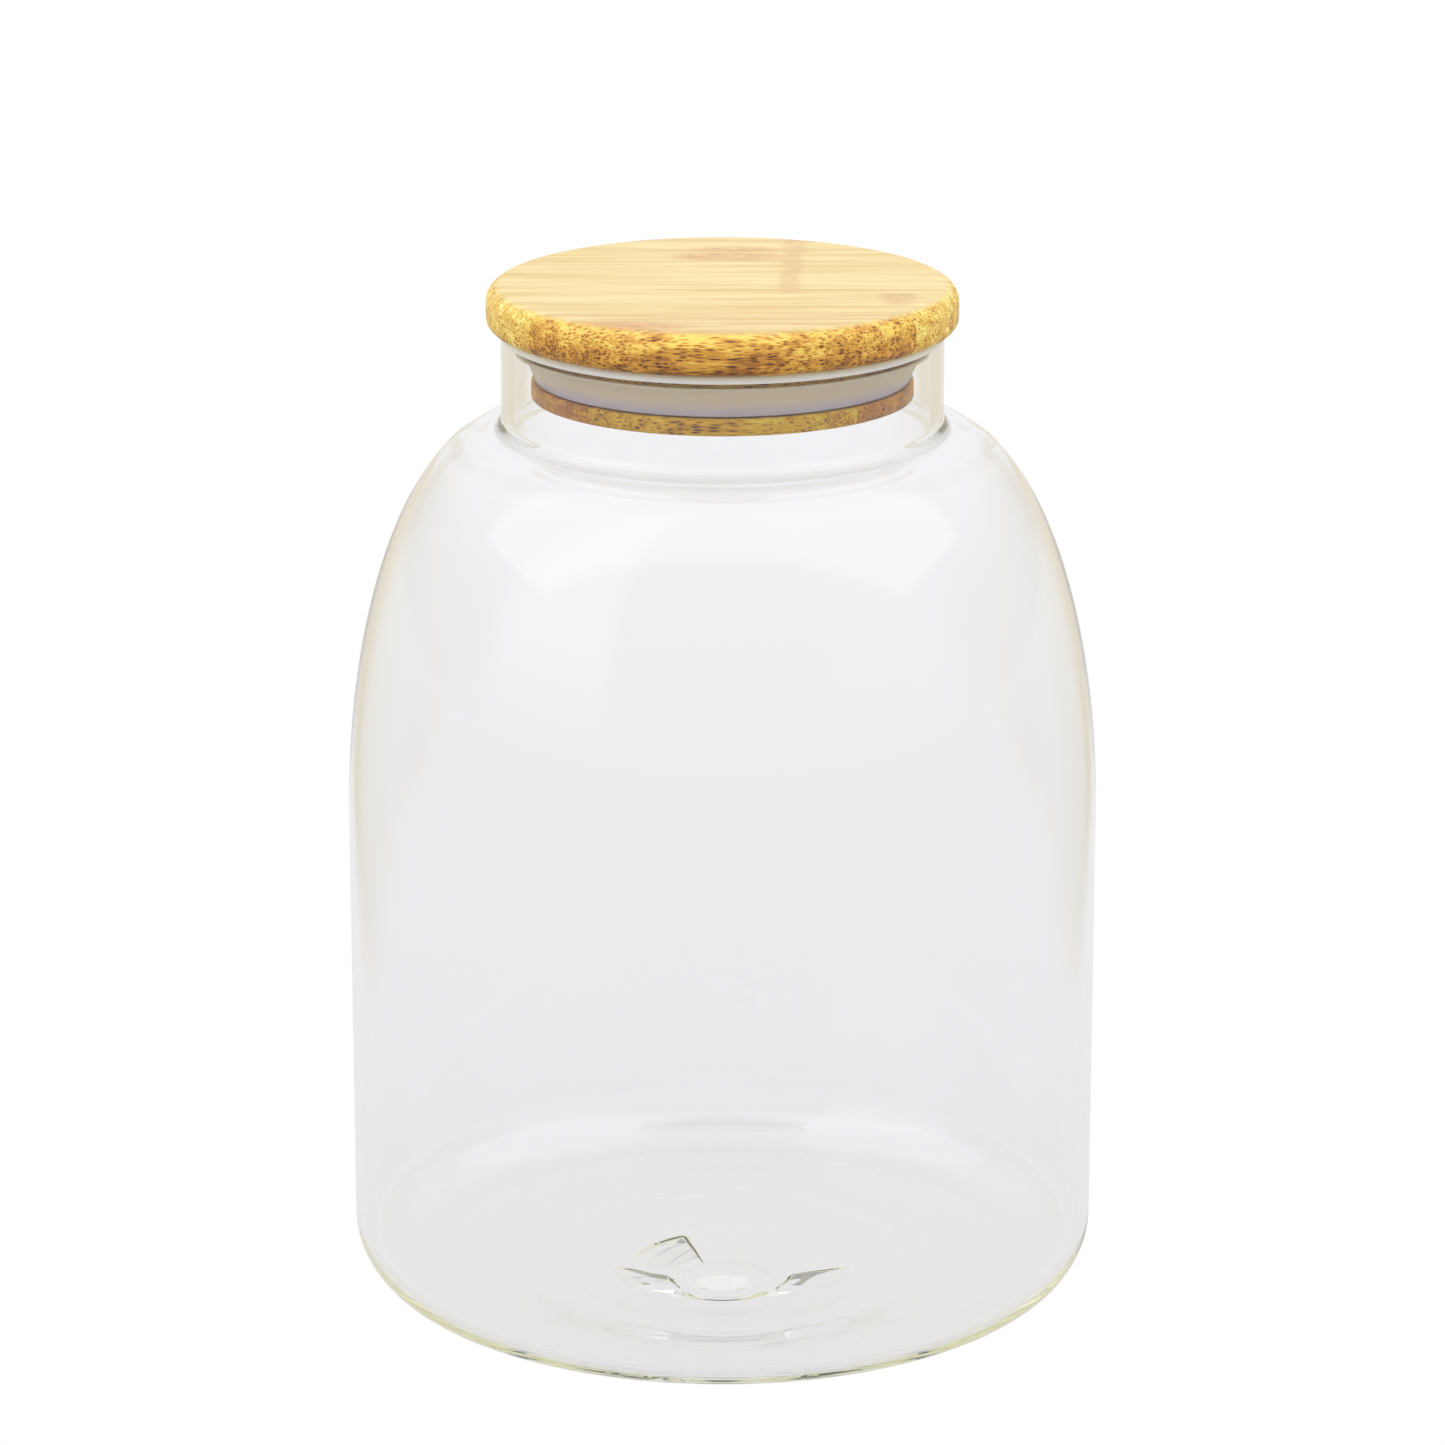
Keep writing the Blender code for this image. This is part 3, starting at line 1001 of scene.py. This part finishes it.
def knuckle_over(tree, colour, bent, threads, knuckle):
    """Lays one knuckle over a colour: its place, half length and half width in mm, and its strength."""
    x, y, length, width, strength = knuckle
    offset = add_node(
        tree,
        "ShaderNodeMapping",
        {
            "vector_type": "TEXTURE",
            "Location": (x * MM, y * MM, 0),
            "Scale": (length * MM, width * MM, 1),
        },
        {"Vector": bent},
    )
    away = add_node(
        tree, "ShaderNodeVectorMath", {"operation": "LENGTH"}, {0: offset.outputs[0]}
    ).outputs["Value"]
    blurred = blend_of(tree, PATCH_SHRINK, ((away, 1.0), (threads, THREAD_WEIGHT)))
    patch = add_node(
        tree,
        "ShaderNodeMapRange",
        {"interpolation_type": "SMOOTHSTEP", 1: PATCH_BORDER[0], 2: PATCH_BORDER[1], 4: strength},
        {0: blurred},
    )
    specks = add_node(
        tree,
        "ShaderNodeMapRange",
        {"interpolation_type": "SMOOTHSTEP", 1: SPECK_BORDER[0], 2: SPECK_BORDER[1], 4: SPECK_STRENGTH},
        {0: threads},
    )
    dark = add_node(
        tree, "ShaderNodeMath", {"operation": "MULTIPLY"}, {0: patch.outputs[0], 1: specks.outputs[0]}
    )
    for amount, shade in ((patch, KNUCKLE_COLOUR), (dark, SPECK_COLOUR)):
        colour = add_node(
            tree,
            "ShaderNodeMix",
            {"data_type": "RGBA", 7: linear(shade)},
            {0: amount.outputs[0], 6: colour},
        ).outputs[2]
    return colour


def flat_tones(tree, bent, shift, tones, fine, threads, knuckles):
    """The colour of the sanded face, with its knuckles."""
    broad = grain(tree, bent, BAND_SIZE, shift).outputs["Fac"]
    streaks = blend_of(tree, 0.0, ((broad, 1.0), (fine, STREAK_WEIGHT)))
    colour = tone_scale(tree, streaks, tones, *STREAK_RANGE)
    for knuckle in knuckles:
        colour = knuckle_over(tree, colour, bent, threads, knuckle)
    return colour


print("the flat face has streaks", STREAK_SIZE[1], "mm wide")

# %% [markdown]
# ## Oiled bamboo
#
# The border between the flat face and the turned edge is ragged, fibre by fibre, so it follows the radius
# with a little of the threads added. Pores are sunk into the edge, and the streaks are felt a little on
# both. Oil leaves the wood satin.

# %% Bamboo
THREAD_SIZE = (4, 0.5, 0.5)
RAGGED = 3 * MM  # how far the border wanders in all
RELIEF_STREAKS = 0.15  # the depth of a streak as a part of a pore's
PORE_DEPTH = 0.1 * MM


def bamboo(name, seed, flat, edge, edge_radii, heights, foot_shade, knuckles):
    """flat has two colours, edge has four from dark to light, and both heights are those of the edge."""
    material = bpy.data.materials.new(name)
    tree = new_tree(material)
    place = add_node(tree, "ShaderNodeTexCoord").outputs["Object"]
    shift = (seed * 3.7, seed * 5.3, seed * 2.9)
    bent = bent_grain(tree, place, shift)
    fine = grain(tree, bent, STREAK_SIZE, shift, 3.0).outputs["Fac"]
    threads = grain(tree, bent, THREAD_SIZE, shift, 3.0).outputs["Fac"]
    flat_colour = flat_tones(tree, bent, shift, flat, fine, threads, knuckles)
    edge_colour, pore = edge_tones(tree, place, bent, shift, edge, *heights, foot_shade)

    level_place = add_node(
        tree, "ShaderNodeVectorMath", {"operation": "MULTIPLY", 1: (1, 1, 0)}, {0: place}
    )
    radius = add_node(
        tree, "ShaderNodeVectorMath", {"operation": "LENGTH"}, {0: level_place.outputs[0]}
    ).outputs["Value"]
    ragged = blend_of(tree, -RAGGED / 2, ((threads, RAGGED), (radius, 1.0)))
    turned = mask(tree, [(ragged, *edge_radii)])
    colour = add_node(
        tree,
        "ShaderNodeMix",
        {"data_type": "RGBA"},
        {0: turned, 6: flat_colour, 7: edge_colour},
    )

    sunk = add_node(tree, "ShaderNodeMath", {"operation": "MULTIPLY"}, {0: pore, 1: turned})
    relief = blend_of(tree, 0.0, ((sunk.outputs[0], 1.0), (fine, RELIEF_STREAKS)))
    bump = add_node(
        tree,
        "ShaderNodeBump",
        {"Strength": 0.6, "Distance": PORE_DEPTH, "invert": True},
        {"Height": relief},
    )
    surface = add_node(
        tree,
        "ShaderNodeBsdfPrincipled",
        {"Roughness": 0.42, "IOR": 1.5},
        {"Base Color": colour.outputs[2], "Normal": bump.outputs[0]},
    )
    add_node(tree, "ShaderNodeOutputMaterial", links={"Surface": surface.outputs[0]})
    return material


# %% [markdown]
# ## A tone for each strip
#
# Bamboo board is glued from culms of different ages, and some strips were steamed until they went brown.
# In the cap only the front strip is brown; in the plug it is the other way round. Each strip also gets
# its own slice of the pattern through its seed, and the knuckles that happen to fall on it.

# %% Finish the strips
CAP_EDGE = (CAP_RADIUS - 3.4 * MM, CAP_RADIUS - 1.6 * MM)
PLUG_EDGE = (FLANGE_RADIUS - 1.4 * MM, FLANGE_RADIUS - 0.6 * MM)
CAP_HEIGHTS = (cap_low.z, cap_high.z - 1 * MM)
PLUG_HEIGHTS = (plug_low.z, GROOVE_FOOT_Z)
PALE_FLAT = ("#E8D598", "#D5B36B")
BROWN_FLAT = ("#E6D094", "#CCA45C")
PALE_EDGE = ("#84511A", "#C89230", "#EFC95C", "#FFF092")
BROWN_EDGE = ("#5E340E", "#A46A20", "#D69C36", "#F8D464")
PLUG_PALE_EDGE = ("#7A4608", "#CC8C10", "#F2BC20", "#FFDC40")
PLUG_BROWN_EDGE = ("#70380A", "#B06A10", "#DA901C", "#F6BA34")
PLUG_PALE_FLAT = ("#C9A96B", "#A37E42")
PLUG_BROWN_FLAT = ("#B5824A", "#8A5A2C")
BROWN_FOOT_SHADE, PALE_FOOT_SHADE, PLUG_FOOT_SHADE = 0.22, 0.08, 0.1  # painted shade: how much darker the foot of the edge is, where it faces down
PLUG_SEED = 10  # added to a strip's number, so that cap and plug differ
KNUCKLES = {  # x, y, half length, half width in mm, and how strong
    1: [(-24, -51, 18, 8, 0.75)],
    2: [(44, -16, 6, 13, 0.5)],
    3: [(17, 0, 3.5, 30, 0.4)],
    4: [(18, 24, 3.5, 30, 0.4), (1, 32, 18, 7, 0.75)],
    5: [(19, 46, 4, 24, 0.4), (3, 40, 15, 5, 0.6)],
}

for index, strip in enumerate(cap_strips, start=1):
    if index == 1:
        flat, edge, foot_shade = BROWN_FLAT, BROWN_EDGE, BROWN_FOOT_SHADE
    else:
        flat, edge, foot_shade = PALE_FLAT, PALE_EDGE, PALE_FOOT_SHADE
    strip.data.materials.append(
        bamboo(f"bamboo_cap_{index}", index, flat, edge, CAP_EDGE, CAP_HEIGHTS, foot_shade, KNUCKLES[index])
    )
for index, strip in enumerate(plug_strips, start=1):
    if index == 1:
        flat, edge = PLUG_PALE_FLAT, PLUG_PALE_EDGE
    else:
        flat, edge = PLUG_BROWN_FLAT, PLUG_BROWN_EDGE
    seed = PLUG_SEED + index
    strip.data.materials.append(
        bamboo(f"bamboo_plug_{index}", seed, flat, edge, PLUG_EDGE, PLUG_HEIGHTS, PLUG_FOOT_SHADE, [])
    )
print("finished", len(cap_strips) + len(plug_strips), "strips of bamboo")

# %% [markdown]
# ## What each piece rides on
#
# The jar stays where it stands. The ring lifts with the lid, and the lid also turns in it. Each new
# piece takes the place of its plain node.


def stand_for(piece, node, body):
    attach(piece, body)
    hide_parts(node)


stand_for(jar, "glass_jar", "jar")
stand_for(seal, "silicone_seal", "seal")
for index, (cap_strip, plug_strip) in enumerate(zip(cap_strips, plug_strips), start=1):
    stand_for(cap_strip, f"lid_cap_strip_{index}", "lid")
    stand_for(plug_strip, f"lid_plug_strip_{index}", "lid")
